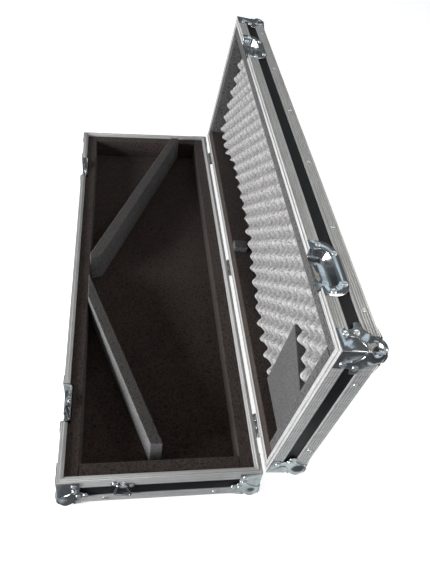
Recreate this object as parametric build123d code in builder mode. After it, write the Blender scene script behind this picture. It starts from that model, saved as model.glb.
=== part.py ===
from build123d import *

import os
from math import cos, radians, sin, tan

# Flight case for a slim instrument: a shallow base and a hinged lid, both of laminated
# plywood boards held in aluminium extrusions, with foam linings cut to the contents.
# Millimetres. The origin is on the ground, at the centre of the four ball corners that the
# base stands on. +X points to the hinged side, +Y to the far end, +Z up. The lid is open.

# Outline of the case
case_length = 1000.0
case_width = 333.0
base_depth = 73.0
lid_depth = 62.0
open_angle = 96.8
rim_gap = 0.4

# Boards and extrusions
board = 7.0
skin = 2.0
angle_leg = 22.0
valance = 19.0
rim_web = 5.0
rim_inner_leg = 8.0
rim_width = skin + board + skin
ridge_width = 2.4
ridge_height = 2.5
ridge_inset = 4.8
ridge_side_gap = 0.4
ridge_top_gap = 0.7
seat_groove = 1.2
lid_lip = 3.4
lid_lip_thick = 1.2
flute = 1.0
flute_pitch = 4.0
flute_rows = 4

# Corner hardware
plate = 1.5
brace_leg = 36.0
brace_top_gap = 0.5
petal_gap = 0.4
ball_radius = 17.6
ball_inset = 10.0
ball_flat = 0.25
ball_skirt = 15.2
ball_skirt_top = 8.3
ball_skirt_rise = 3.6
petal_fold = 25.0
petal_neck = (9.0, 26.0)
petal_shoulder = (22.0, 36.5)
petal_side = 22.0
petal_reach = 48.0
petal_tip = 34.0
petal_notch = 36.5
petal_bend = 10.0
petal_round = 5.0
petal_crown = 0.9

# Rivets
large_rivet = 4.7
small_rivet = 3.8
rivet_height = 1.8
rivet_round = 1.2
rivet_hole = 1.4
rivet_hole_depth = 1.0
side_rivet_inset = 71.0
side_rivet_count = 6
end_rivet_inset = 74.0
brace_rivet = (27.0, 11.5)
base_petal_rivets = [(27.0, 41.5), (32.0, 25.0), (43.5, 27.0)]
lid_petal_rivets = [(34.0, 30.0)]

# Twist latches in the left side
latch_inset_near = 148.5
latch_inset_far = 155.0
dish_width = 78.0
dish_depth = 14.0
dish_wall = 1.2
dish_round = 15.0
dish_draft = 15.0
dish_bend = 4.0
dish_above_angle = 1.0
keeper_above_angle = 10.0
flange_width = 112.0
flange_band = 13.0
flange_round = 28.0
flange_rivet_drop = 14.6
flange_rivet_pitch = 62.0
dish_gap = 0.3
rotor_radius = 19.0
rotor_front = 3.4
rotor_thick = 1.6
axle_radius = 3.0
axle_gap = 0.08
axle_end = 1.0
wing_half_span = 20.0
wing_drop = 12.5
wing_thick = 1.8
wing_knuckle_radius = 1.5
wing_knuckle_half = 9.0
wing_pin_radius = 0.7
wing_pin_gap = 0.06
hook_thick = 1.8
hook_face = 8.2
hook_half_width = 15.0
hook_reach = 14.4
hook_tip = 5.4
hook_slot_radius = 4.6
hook_pivot_rise = 7.5
hook_knuckle_radius = 2.6
hook_knuckle_half = 12.0
hook_pin_radius = 1.2
hook_pin_gap = 0.08
hook_release = 3.4
strike_gap = 0.7
strike_thick = 2.0
strike_overlap = 2.4
strike_half_width = 17.0

# Hinges on the right side
hinge_inset_near = 88.0
hinge_inset_far = 105.0
hinge_middle_shift = -20.0
hinge_width = 44.0
hinge_leaf_height = 28.0
hinge_leaf = 1.5
hinge_offset = 4.3
hinge_knuckle_radius = 3.4
hinge_pin_radius = 1.5
hinge_pin_gap = 0.05
hinge_end_gap = 0.4
hinge_middle = 14.4
hinge_rivet_pitch = 27.0
hinge_rivet_drop = 17.0

# Strap rings on the ends
strap_x = 104.0
strap_drop = 13.5
strap_tilt = 16.0
strap_plate_length = 40.0
strap_plate_width = 16.0
strap_plate = 1.2
strap_rivet_pitch = 28.6
ring_wire = 1.9
ring_outline = [(-9.0, 0.0), (6.0, 0.0), (23.0, -31.0), (-6.0, -30.0)]
ring_corner = 3.0
ring_gap = 0.4
loop_length = 8.0
loop_shift = 1.5

# Foam in the base
foam_gap = 0.3
liner = 23.0
floor_foam = 14.0
liner_top_drop = 4.0
cradle = 20.0
cradle_rise = 14.0
upper_cradle_y = 509.0
upper_cradle_end_inset = 99.6
upper_cradle_cut = 503.0
lower_cradle_y = 386.0
lower_cradle_end_inset = (184.0, 54.0)

# Foam in the lid
lid_backing = 6.0
lid_liner_drop = 1.5
wave_depth = 20.0
block_depth = 19.5
block_far = 162.0
block_slant = (190.0, 143.0)
block_gap = 3.0
wave_side_gap = 1.0
wave_narrow = 77.0
wave_narrow_start = 300.0
wave_narrow_near = 540.0
wave_narrow_far = 230.0
wave_wide_far = (49.0, 150.0)
wave_end = (52.0, 45.0)
spacer_y = (492.0, 515.0)
spacer_thick = 13.0
spacer_depth = 30.0

# Values that follow from the driving ones
half_w = case_width / 2
half_l = case_length / 2
ball_stand = ball_radius - ball_inset - ball_flat
rim_height = base_depth + ball_stand
latch_ys = [latch_inset_near - half_l, half_l - latch_inset_far]
dish_height = base_depth - angle_leg - dish_above_angle
flange_height = dish_height + flange_band
keeper_height = lid_depth - angle_leg - keeper_above_angle
keeper_flange_height = keeper_height + flange_band
hook_pivot_drop = dish_height - hook_pivot_rise
rotor_drop = (dish_height - dish_wall) / 2
hinge_ys = [hinge_inset_near - half_l, hinge_middle_shift, half_l - hinge_inset_far]
hinge_axis = Axis((half_w + hinge_offset, 0, rim_height + rim_gap / 2), (0, 1, 0))
hinge_rise = rim_gap / 2
wall_back = dish_depth + dish_wall
liner_start = rim_width + foam_gap
liner_end = liner_start + liner
foam_start = liner_end + foam_gap
notch_depth = wall_back + axle_end + dish_gap

os.makedirs("parts", exist_ok=True)


def save(piece, name):
    """Write one finished piece under its node name."""
    piece.label = name
    export_step(piece, f"parts/{name}.step")


def in_base(piece):
    """Move a piece drawn with the rim at Z = 0 to the base."""
    return piece.moved(Location((0, 0, rim_height)))


def in_lid(piece):
    """Turn a piece drawn with the rim at Z = 0 over onto the lid, and open the lid."""
    closed = piece.mirror(Plane.XY).moved(Location((0, 0, rim_height + rim_gap)))
    return closed.rotate(hinge_axis, open_angle)


def frame_side(side, outer, inner):
    """Mitred strip along one side of the outline, between two insets from the outer face."""
    xo = half_w - outer
    yo = half_l - outer
    xi = half_w - inner
    yi = half_l - inner
    strips = {
        "left": [(-xo, -yo), (-xi, -yi), (-xi, yi), (-xo, yo)],
        "right": [(xo, -yo), (xo, yo), (xi, yi), (xi, -yi)],
        "front": [(-xo, -yo), (xo, -yo), (xi, -yi), (-xi, -yi)],
        "back": [(-xo, yo), (-xi, yi), (xi, yi), (xo, yo)],
    }
    return strips[side]


def mitred_bar(side, outer, inner, low, high, mode=Mode.ADD):
    """Mitred strip of one side, given a height."""
    with BuildSketch(Plane.XY.offset(low)) as strip:
        Polygon(*frame_side(side, outer, inner))
    extrude(strip.sketch, amount=high - low, mode=mode)


# Boards


def floor_board(depth):
    with BuildPart() as sheet:
        with BuildSketch(Plane.XY.offset(skin - depth)):
            Rectangle(case_width - 2 * skin, case_length - 2 * skin)
        extrude(amount=board)
    return sheet.part


def end_boards(depth):
    height = depth - skin - board - rim_web
    middle = -rim_web - height / 2
    y = half_l - skin - board / 2
    with BuildPart() as sheets:
        with Locations((0, -y, middle), (0, y, middle)):
            Box(case_width - 2 * skin, board, height)
    return sheets.part


def side_board(depth, x_sign, notch_height=0.0):
    """Long board of one side, cut down from the rim where the dishes of the latches sit."""
    height = depth - skin - board - rim_web
    x = x_sign * (half_w - skin - board / 2)
    with BuildPart() as sheet:
        with Locations((x, 0, -rim_web - height / 2)):
            Box(board, case_length - 2 * (skin + board), height)
        if notch_height:
            for y in latch_ys:
                cut_for_dish(y, notch_height)
    return sheet.part


def cut_for_dish(y, height):
    """Cut a board or foam strip out square round one latch dish."""
    with Locations((-half_w, y, 0)):
        Box(2 * notch_depth, dish_width + 2 * dish_gap, 2 * (height + dish_gap),
            mode=Mode.SUBTRACT)


# Extrusions


def rim(side, in_the_lid, notch_height=0.0):
    """Rim extrusion of one side, with a ridge in the base, or a groove and inner lip in the lid."""
    ridge_end = ridge_inset + ridge_width
    with BuildPart() as bar:
        mitred_bar(side, 0, rim_width, -rim_web, 0)
        mitred_bar(side, 0, skin, -valance, -rim_web)
        mitred_bar(side, rim_width - skin, rim_width, -rim_inner_leg, -rim_web)
        if in_the_lid:
            mitred_bar(side, rim_width, rim_width + lid_lip, -lid_lip_thick, 0)
            groove = ridge_height + ridge_top_gap
            mitred_bar(side, ridge_inset - ridge_side_gap, ridge_end + ridge_side_gap, -groove, 0,
                       Mode.SUBTRACT)
        else:
            mitred_bar(side, ridge_inset, ridge_end, 0, ridge_height)
            mitred_bar(side, skin * 2, ridge_inset, -seat_groove, 0, Mode.SUBTRACT)
        for row in range(flute_rows):
            low = -valance + flute_pitch * (row + 1)
            mitred_bar(side, 0, flute, low, low + flute, Mode.SUBTRACT)
        if notch_height:
            for y in latch_ys:
                cut_rim(y)
    return bar.part


def cut_rim(y):
    """Take the rim away over the width of one latch dish."""
    width = dish_width + 2 * dish_gap
    with Locations((-half_w + rim_width / 2, y, 0)):
        Box(3 * rim_width, width, 4 * valance, mode=Mode.SUBTRACT)


def edge_angles(depth, sides):
    """Angle extrusions along the edges of the floor board."""
    with BuildPart() as bars:
        for side in sides:
            mitred_bar(side, 0, angle_leg, -depth, skin - depth)
            mitred_bar(side, 0, skin, skin - depth, angle_leg - depth)
            for row in range(flute_rows):
                low = -depth + flute_pitch * (row + 1)
                mitred_bar(side, 0, flute, low, low + flute, Mode.SUBTRACT)
    return bars.part


def corner_angles(depth):
    """Upright angle extrusions between the rim and the edge angles."""
    low = angle_leg - depth
    with BuildPart() as bars:
        with BuildSketch(Plane.XY.offset(low)):
            Polygon((-half_w, -half_l), (angle_leg - half_w, -half_l),
                    (angle_leg - half_w, skin - half_l), (skin - half_w, skin - half_l),
                    (skin - half_w, angle_leg - half_l), (-half_w, angle_leg - half_l))
        extrude(amount=-valance - low)
        mirror(about=Plane.YZ)
        mirror(about=Plane.XZ)
    return bars.part


# Corner hardware


def corner_faces(depth):
    """Planes of the three case faces that meet at the lower near left corner."""
    corner = (-half_w, -half_l, -depth)
    front = Plane(origin=corner, x_dir=(1, 0, 0), z_dir=(0, -1, 0))
    left = Plane(origin=corner, x_dir=(0, 0, 1), z_dir=(-1, 0, 0))
    under = Plane(origin=corner, x_dir=(0, 1, 0), z_dir=(0, 0, -1))
    return [front, left, under]


def petal_outline(growth=0.0):
    """One face of a ball corner: two lobes, drawn in on both sides towards the folds."""
    fold = -plate
    low, high = petal_neck
    side, rise = petal_shoulder
    bends = [(low, high), (high, low), (side, rise), (rise, side)]
    tips = [(petal_reach, petal_side), (petal_reach, petal_tip), (petal_tip, petal_reach),
            (petal_side, petal_reach), (petal_notch, petal_notch)]
    with BuildSketch() as outline:
        Polygon((fold, fold), (petal_fold, fold), (high, low), (rise, side),
                (petal_reach, petal_side), (petal_reach, petal_tip), (petal_notch, petal_notch),
                (petal_tip, petal_reach), (petal_side, petal_reach), (side, rise),
                (low, high), (fold, petal_fold))
        for spots, radius in ((bends, petal_bend), (tips, petal_round)):
            fillet([nearest_vertex(outline, spot) for spot in spots], radius)
        if growth:
            offset(amount=growth)
    return outline.sketch


def nearest_vertex(outline, spot):
    return outline.vertices().sort_by_distance((spot[0], spot[1], 0))[0]


def petal():
    """Sheet of one face, its free edge rounded over."""
    with BuildPart() as leaf:
        extrude(petal_outline(), amount=plate)
        top = leaf.faces().sort_by(Axis.Z)[-1]
        free = [e for e in top.edges() if min(e.center().X, e.center().Y) > 0]
        fillet(free, petal_crown)
    return leaf.part


def turned(points, swapped):
    """Points of an outline, with X and Y exchanged and the order kept if swapped is set."""
    return [(b, a) for a, b in reversed(points)] if swapped else points


def braces(depth):
    """Folded plates round the upright edges, cut to the line of the ball corners' petals."""
    top = depth - brace_top_gap
    outer = [(-plate, 0), (brace_leg, 0), (brace_leg, top), (-plate, top)]
    lobe = (petal_side + petal_tip) / 2
    clear = petal_reach + petal_gap
    below = [(-2 * plate, -plate), (brace_leg + plate, -plate), (brace_leg + plate, clear),
             (lobe, clear), (lobe, lobe), (-2 * plate, 0)]
    cut = petal_outline(petal_gap)
    with BuildPart() as plates:
        for face, swapped in zip(corner_faces(depth), (False, True)):
            with BuildSketch(face) as outline:
                Polygon(*turned(outer, swapped))
                Polygon(*turned(below, swapped), mode=Mode.SUBTRACT)
                add(cut, mode=Mode.SUBTRACT)
            extrude(outline.sketch, amount=plate)
        upright = plates.edges().filter_by(Axis.Z)
        fillet(upright.sort_by_distance((-half_w - plate, -half_l - plate, -depth / 2))[0], plate * 0.9)
        mirror(about=Plane.YZ)
        mirror(about=Plane.XZ)
    return plates.part


def ball_corners(depth):
    """Pressed corners, each with a ball that ends in a small flat to stand on."""
    corner = Location((-half_w, -half_l, -depth))
    nose = plate + ball_inset / 2
    leaf = petal()
    with BuildPart() as shells:
        with Locations(*corner_faces(depth)):
            add(leaf)
        with Locations(corner * Location((-plate, -plate, -plate))):
            Box(nose, nose, nose, align=(Align.MIN, Align.MIN, Align.MIN), mode=Mode.SUBTRACT)
        with Locations(corner * Location((ball_inset, ball_inset, ball_inset))):
            Sphere(ball_radius, rotation=(0, 0, 45))
        skirts = [face.offset(plate) * Location((ball_inset, ball_inset)) for face in corner_faces(depth)]
        with Locations(*skirts):
            Cone(ball_skirt, ball_skirt_top, ball_skirt_rise, align=(Align.CENTER, Align.CENTER, Align.MIN))
        with Locations(corner * Location((0, 0, -ball_stand))):
            Box(4 * ball_radius, 4 * ball_radius, ball_radius,
                align=(Align.CENTER, Align.CENTER, Align.MAX), mode=Mode.SUBTRACT)
        with Locations(corner):
            block = 2 * petal_reach
            Box(block, block, block, align=(Align.MIN, Align.MIN, Align.MIN), mode=Mode.SUBTRACT)
        mirror(about=Plane.YZ)
        mirror(about=Plane.XZ)
    return shells.part


# Rivets


def rivet_head(radius):
    """Head of a blind rivet, with the hole that its stem leaves."""
    with BuildPart() as head:
        Cylinder(radius, rivet_height, align=(Align.CENTER, Align.CENTER, Align.MIN))
        fillet(head.faces().sort_by(Axis.Z)[-1].edges(), rivet_round)
        with Locations((0, 0, rivet_height)):
            Cylinder(rivet_hole, 2 * rivet_hole_depth, mode=Mode.SUBTRACT)
    return head.part


def large_rivets(depth, petal_spots, dish_low, flange_low):
    """Rivet heads on the ball corners, braces, dish flanges and hinge leaves of one half."""
    head = rivet_head(large_rivet)
    brace_a, brace_b = brace_rivet
    front, left, under = corner_faces(depth)
    with BuildPart() as heads:
        for face in (front, left, under):
            with Locations(*[face.offset(plate) * Location(spot) for spot in petal_spots]):
                add(head)
        with Locations(front.offset(plate) * Location((brace_a, depth - brace_b)),
                       left.offset(plate) * Location((depth - brace_b, brace_a))):
            add(head)
        mirror(about=Plane.YZ)
        mirror(about=Plane.XZ)
        add_flange_rivets(head, dish_low, flange_low)
        leaf_face = Plane.YZ.offset(half_w + hinge_leaf)
        drop = hinge_rivet_drop - hinge_rise
        spots = [(y + side * hinge_rivet_pitch / 2, -drop) for y in hinge_ys for side in (-1, 1)]
        with Locations(*[leaf_face * Location(spot) for spot in spots]):
            add(head)
    return heads.part


def add_flange_rivets(head, dish_low, flange_low):
    """Heads on the flange of each dish: two beside its mouth, two below it."""
    face = Plane(origin=(-half_w - dish_wall, 0, 0), x_dir=(0, -1, 0), z_dir=(-1, 0, 0))
    beside = (dish_width + flange_width) / 4
    below = (dish_low + flange_low) / 2
    for y in latch_ys:
        spots = [(side * beside - y, -flange_rivet_drop) for side in (-1, 1)]
        spots += [(side * flange_rivet_pitch / 2 - y, -below) for side in (-1, 1)]
        with Locations(*[face * Location(spot) for spot in spots]):
            add(head)


def small_rivets(depth):
    """Smaller rivet heads along the edge angles of one half."""
    head = rivet_head(small_rivet)
    side_span = case_length - 2 * side_rivet_inset
    side_steps = [side_rivet_inset + side_span * k / (side_rivet_count - 1)
                  for k in range(side_rivet_count)]
    middle = angle_leg / 2
    front, left, under = corner_faces(depth)
    with BuildPart() as heads:
        with Locations(front * Location((end_rivet_inset, middle)),
                       under * Location((middle, end_rivet_inset))):
            add(head)
        near_half = [y for y in side_steps if y < half_l]
        spots = [left * Location((middle, y)) for y in near_half]
        spots += [under * Location((y, middle)) for y in near_half]
        with Locations(*spots):
            add(head)
        mirror(about=Plane.YZ)
        mirror(about=Plane.XZ)
    return heads.part


# Twist latches


def flange(y, height, wide_height):
    """Pressed flange round a dish, on the outer face of the left side."""
    with BuildSketch(Plane.YZ.offset(-half_w - dish_wall)) as outline:
        with Locations((y, 0)):
            Rectangle(flange_width, wide_height, align=(Align.CENTER, Align.MAX))
        fillet(outline.vertices().group_by(Axis.Y)[0], flange_round)
    extrude(outline.sketch, amount=dish_wall)
    with BuildSketch(Plane.YZ.offset(-half_w - dish_wall)) as mouth:
        with Locations((y, 0)):
            Rectangle(dish_width - 2 * dish_wall, height - dish_wall,
                      align=(Align.CENTER, Align.MAX))
        fillet(mouth.vertices().group_by(Axis.Y)[0], dish_round - dish_wall)
    extrude(mouth.sketch, amount=dish_wall, mode=Mode.SUBTRACT)


def dish_form(y, height, depth, growth):
    """Solid form of a dish below the rim: its walls draw in towards a rounded bottom."""
    rise = depth * tan(radians(dish_draft)) + 2 * dish_bend
    with BuildPart() as form:
        with BuildSketch(Plane.YZ.offset(-half_w)) as outline:
            with Locations((y, rise)):
                Rectangle(dish_width + 2 * growth, height + growth + rise,
                          align=(Align.CENTER, Align.MAX))
            fillet(outline.vertices().group_by(Axis.Y)[0], dish_round + growth)
        extrude(outline.sketch, amount=depth, taper=dish_draft)
        fillet(form.faces().sort_by(Axis.X)[-1].edges(), dish_bend + growth)
        with Locations((-half_w, y, 0)):
            Box(3 * depth, flange_width, 2 * rise, align=(Align.CENTER, Align.CENTER, Align.MIN),
                mode=Mode.SUBTRACT)
    return form.part


def dish(y, height, wide_height):
    """Latch dish, open towards the rim, with the flange round its mouth."""
    add(dish_form(y, height, wall_back, 0))
    add(dish_form(y, height, dish_depth, -dish_wall), mode=Mode.SUBTRACT)
    flange(y, height, wide_height)


def latch_dish(y):
    """Dish of a latch, with the bore for its rotor and the ears and pin for its hook."""
    pin_x = hook_face + hook_thick / 2 - half_w
    ear_near = hook_knuckle_half + 0.5
    ear_depth = dish_depth - half_w - pin_x + hook_knuckle_radius
    ear_x = dish_depth - half_w - ear_depth / 2
    with BuildPart() as pressing:
        dish(y, dish_height, flange_height)
        with Locations(Location((wall_back - half_w, y, -rotor_drop), (0, 90, 0))):
            Cylinder(axle_radius + axle_gap, 4 * dish_wall, mode=Mode.SUBTRACT)
        with Locations((ear_x, y - ear_near - 1, -hook_pivot_drop),
                       (ear_x, y + ear_near + 1, -hook_pivot_drop)):
            Box(ear_depth, 2, 2 * hook_knuckle_radius)
        with Locations(Location((pin_x, y, -hook_pivot_drop), (90, 0, 0))):
            Cylinder(hook_pin_radius, 2 * ear_near + 2)
    return pressing.part


def latch_rotor(y):
    """Disc on its axle, with two lugs and a pin that carry the folding wing."""
    disc_x = rotor_front - half_w
    pin_x = rotor_front - wing_knuckle_radius - 0.1 - half_w
    lug_depth = wing_knuckle_radius + 1.2
    axle_length = wall_back + axle_end - rotor_front - rotor_thick
    lug_y = wing_knuckle_half + 1.3
    with BuildPart() as disc:
        with BuildSketch(Plane.YZ.offset(disc_x)):
            with Locations((y, -rotor_drop)):
                Circle(rotor_radius)
        extrude(amount=rotor_thick)
        with BuildSketch(Plane.YZ.offset(disc_x + rotor_thick)):
            with Locations((y, -rotor_drop)):
                Circle(axle_radius)
        extrude(amount=axle_length)
        with Locations((disc_x - lug_depth / 2, y - lug_y, -rotor_drop),
                       (disc_x - lug_depth / 2, y + lug_y, -rotor_drop)):
            Box(lug_depth, 2, 2 * wing_knuckle_radius)
        with Locations(Location((pin_x, y, -rotor_drop), (90, 0, 0))):
            Cylinder(wing_pin_radius, 2 * lug_y)
    return disc.part


def latch_wing(y):
    """Thumb wing, folded flat on the disc: two lobes hung from a knuckle."""
    pin_x = rotor_front - wing_knuckle_radius - 0.1 - half_w
    with BuildPart() as lobes:
        with BuildSketch(Plane.YZ.offset(pin_x - wing_thick / 2)) as outline:
            with Locations((y, -rotor_drop - 2.4)):
                Rectangle(2 * wing_half_span, wing_drop - 2.4, align=(Align.CENTER, Align.MAX))
            fillet(outline.vertices().group_by(Axis.Y)[0], 7)
            with Locations((y, -rotor_drop)):
                Rectangle(2 * wing_knuckle_half, 3, align=(Align.CENTER, Align.MAX))
        extrude(amount=wing_thick)
        with Locations(Location((pin_x, y, -rotor_drop), (90, 0, 0))):
            Cylinder(wing_knuckle_radius, 2 * wing_knuckle_half)
            Cylinder(wing_pin_radius + wing_pin_gap, 3 * wing_knuckle_half, mode=Mode.SUBTRACT)
    return lobes.part


def latch_hook(y):
    """Hook plate, hung on its pin and leaning out of the keeper's way."""
    face_x = hook_face - half_w
    pin_x = face_x + hook_thick / 2
    shoulder = -hook_pivot_drop + hook_knuckle_radius + 1.5
    with BuildPart() as tongue:
        with BuildSketch(Plane.YZ.offset(face_x)):
            with Locations((y, shoulder)):
                Rectangle(2 * hook_half_width, hook_reach - shoulder, align=(Align.CENTER, Align.MIN))
            with Locations((y, -hook_pivot_drop)):
                Rectangle(2 * hook_knuckle_half, hook_pivot_drop + shoulder,
                          align=(Align.CENTER, Align.MIN))
            with Locations((y, -rotor_drop)):
                Circle(hook_slot_radius, mode=Mode.SUBTRACT)
        extrude(amount=hook_thick)
        with Locations((face_x, y, hook_reach)):
            Box(hook_tip, 2 * hook_half_width, hook_thick, align=(Align.MIN, Align.CENTER, Align.MAX))
        with Locations(Location((pin_x, y, -hook_pivot_drop), (90, 0, 0))):
            Cylinder(hook_knuckle_radius, 2 * hook_knuckle_half)
            Cylinder(hook_pin_radius + hook_pin_gap, 3 * hook_knuckle_half, mode=Mode.SUBTRACT)
    pivot = Axis((pin_x, y, -hook_pivot_drop), (0, 1, 0))
    return tongue.part.rotate(pivot, -hook_release)


def keeper_dish(y):
    with BuildPart() as pressing:
        dish(y, keeper_height, keeper_flange_height)
    return pressing.part


def strikes():
    """Ledges in the keeper dishes that the hooks pull down on, drawn below the lid's rim."""
    top = hook_reach - hook_thick - strike_gap - rim_gap
    ledge = dish_depth - (hook_face + hook_tip - strike_overlap)
    back_x = dish_depth - half_w
    with BuildPart() as ledges:
        for y in latch_ys:
            with Locations((back_x, y, -top)):
                Box(ledge, 2 * strike_half_width, strike_thick,
                    align=(Align.MAX, Align.CENTER, Align.MIN))
            with Locations((back_x, y, -top)):
                Box(dish_wall, 2 * strike_half_width, top - strike_thick,
                    align=(Align.MAX, Align.CENTER, Align.MIN))
    return ledges.part


# Hinges


def hinge_leaves(segments):
    """Leaves on the outer face of the right side, with the knuckles of the given segments."""
    axis_x = half_w + hinge_offset
    link_low = hinge_rise - hinge_knuckle_radius - hinge_end_gap
    with BuildPart() as leaves:
        for y in hinge_ys:
            with BuildSketch(Plane.YZ.offset(half_w)) as outline:
                with Locations((y, link_low)):
                    Rectangle(hinge_width, hinge_leaf_height, align=(Align.CENTER, Align.MAX))
                fillet(outline.vertices().group_by(Axis.Y)[0], hinge_leaf_height / 4)
            extrude(amount=hinge_leaf)
            for low, high in segments:
                with BuildSketch(Plane.XZ.offset(-(y + low))):
                    Polygon((half_w, link_low), (half_w + hinge_leaf, link_low),
                            (axis_x, hinge_rise - hinge_knuckle_radius), (axis_x, hinge_rise),
                            (half_w, hinge_rise))
                    with Locations((axis_x, hinge_rise)):
                        Circle(hinge_knuckle_radius)
                        Circle(hinge_pin_radius + hinge_pin_gap, mode=Mode.SUBTRACT)
                extrude(amount=low - high)
    return leaves.part


def hinge_pins():
    with BuildPart() as pins:
        for y in hinge_ys:
            with Locations(Location((half_w + hinge_offset, y, hinge_rise), (90, 0, 0))):
                Cylinder(hinge_pin_radius, hinge_width)
    return pins.part


# Strap rings


strap_lean = radians(strap_tilt)
strap_face = Plane(origin=(strap_x - half_w, -half_l, -strap_drop),
                   x_dir=(cos(strap_lean), 0, -sin(strap_lean)), z_dir=(0, -1, 0))
ring_offset = strap_plate + ring_gap + ring_wire


def strap_plates():
    """Riveted plates with a loop for the ring, one on each end of the base."""
    bore = ring_wire + ring_gap
    shell = bore + strap_plate
    across = Plane(origin=strap_face.from_local_coords((-loop_shift - loop_length / 2, 0, 0)),
                   x_dir=strap_face.y_dir, z_dir=strap_face.x_dir)
    with BuildPart() as plates:
        with BuildSketch(strap_face):
            SlotOverall(strap_plate_length, strap_plate_width)
        extrude(amount=strap_plate)
        with BuildSketch(across):
            Rectangle(2 * shell, ring_offset, align=(Align.CENTER, Align.MIN))
            with Locations((0, ring_offset)):
                Circle(shell)
                Circle(bore, mode=Mode.SUBTRACT)
        extrude(amount=loop_length)
        mirror(about=Plane.XZ)
    return plates.part


def strap_rivets():
    """Small rivet heads on the strap plates, one at each end of the loop."""
    face = strap_face.offset(strap_plate)
    half = strap_rivet_pitch / 2
    head = rivet_head(small_rivet)
    with BuildPart() as heads:
        with Locations(face * Location((-half, 0)), face * Location((half, 0))):
            add(head)
        mirror(about=Plane.XZ)
    return heads.part


def strap_ring():
    """Ring of round wire, hanging from the loop on the near end."""
    with BuildPart() as ring:
        with BuildLine(strap_face.offset(ring_offset)) as path:
            FilletPolyline(*ring_outline, radius=ring_corner, close=True)
        start = path.edges().sort_by_distance(strap_face.offset(ring_offset).origin)[0]
        with BuildSketch(Plane(origin=start @ 0.5, z_dir=start % 0.5)):
            Circle(ring_wire)
        sweep(path=path.wires()[0])
    return ring.part


# Foam in the base


def foam_sheet(thick, low):
    """Foam over the whole floor, inside the boards."""
    inside = 2 * (skin + board + foam_gap)
    with BuildPart() as sheet:
        with BuildSketch(Plane.XY.offset(low)):
            Rectangle(case_width - inside, case_length - inside)
        extrude(amount=thick)
    return sheet.part


def side_liner(x_sign, low, high, notch_height=0.0):
    """Long foam strip down one side, hollowed behind the dishes of the latches."""
    x = x_sign * (half_w - liner_start - liner / 2)
    length = case_length - 2 * liner_start
    with BuildPart() as strip:
        with Locations((x, 0, (low + high) / 2)):
            Box(liner, length, high - low)
        if notch_height:
            for y in latch_ys:
                cut_for_dish(y, notch_height)
    return strip.part


def end_liners(low, high):
    y = half_l - liner_start - liner / 2
    middle = (low + high) / 2
    with BuildPart() as strips:
        with Locations((0, -y, middle), (0, y, middle)):
            Box(case_width - 2 * foam_start, liner, high - low)
    return strips.part


def from_corner(points):
    """Points measured from the near left corner of the case, as points in its own frame."""
    return [(x - half_w, y - half_l) for x, y in points]


def cradle_line(start, end):
    """Offset of the inner edge of a cradle strip along X, for its thickness."""
    run = ((end[0] - start[0]) ** 2 + (end[1] - start[1]) ** 2) ** 0.5
    return cradle * run / abs(end[1] - start[1])


def upper_cradle(low, high):
    """Strip from the left liner to the far liner."""
    x0, y0 = foam_start, upper_cradle_y
    x1, y1 = case_width - upper_cradle_end_inset, case_length - foam_start
    shift = cradle_line((x0, y0), (x1, y1))
    slope = (x1 - x0) / (y1 - y0)
    cut_x = x0 + shift + slope * (upper_cradle_cut - y0)
    side_y = upper_cradle_cut - cradle / 2
    with BuildPart() as strip:
        with BuildSketch(Plane.XY.offset(low)):
            Polygon(*from_corner([(x0, y0), (x0, side_y), (cut_x, upper_cradle_cut),
                                  (x1 + shift, y1), (x1, y1)]))
        extrude(amount=high - low)
    return strip.part


def lower_cradle(low, high):
    """Strip from the left liner towards the near end, cut off square before it."""
    x0, y0 = foam_start, lower_cradle_y
    x1, y1 = case_width - lower_cradle_end_inset[0], lower_cradle_end_inset[1]
    shift = cradle_line((x0, y0), (x1, y1))
    top_y = y0 + shift * (y0 - y1) / (x1 - x0)
    with BuildPart() as strip:
        with BuildSketch(Plane.XY.offset(low)):
            Polygon(*from_corner([(x0, y0), (x1, y1), (x1 + shift, y1), (x0, top_y)]))
        extrude(amount=high - low)
    return strip.part


# Foam in the lid, drawn below the rim


def block_edge():
    """Far and near X of the block's free side."""
    far_inset, near_inset = block_slant
    return case_width - far_inset, case_width - near_inset


def wave_foam(low, high):
    """Sheet of wave-cut foam, trimmed by hand along the hinge and round the block."""
    far_x, near_x = block_edge()
    wide = case_width - foam_start - wave_side_gap
    points = [(foam_start, foam_start), (near_x - block_gap, foam_start),
              (far_x - block_gap, block_far + block_gap), (wide, block_far + block_gap),
              (wide, wave_narrow_start), (case_width - wave_narrow, wave_narrow_near),
              (case_width - wave_narrow, case_length - wave_narrow_far),
              (case_width - wave_wide_far[0], case_length - wave_wide_far[1]),
              (case_width - wave_end[0], case_length - wave_end[1]),
              (foam_start, case_length - wave_end[1])]
    with BuildPart() as sheet:
        with BuildSketch(Plane.XY.offset(low)):
            Polygon(*from_corner(points))
        extrude(amount=high - low)
    return sheet.part


def lid_block(low, high):
    """Firm block in the near hinge corner of the lid, slanted on its free side."""
    right = case_width - foam_start
    far_x, near_x = block_edge()
    with BuildPart() as wedge:
        with BuildSketch(Plane.XY.offset(low)):
            Polygon(*from_corner([(near_x, foam_start), (right, foam_start), (right, block_far),
                                  (far_x, block_far)]))
        extrude(amount=high - low)
    return wedge.part


def lid_spacer():
    """Small foam pad on the lining of the hinge side, half way along."""
    right = case_width - foam_start
    low_y, high_y = spacer_y
    with BuildPart() as pad:
        with BuildSketch(Plane.XY.offset(-spacer_depth)):
            Polygon(*from_corner([(right - spacer_thick, low_y), (right, low_y),
                                  (right, high_y), (right - spacer_thick, high_y)]))
        extrude(amount=spacer_depth - lid_liner_drop)
    return pad.part


# Base

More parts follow.
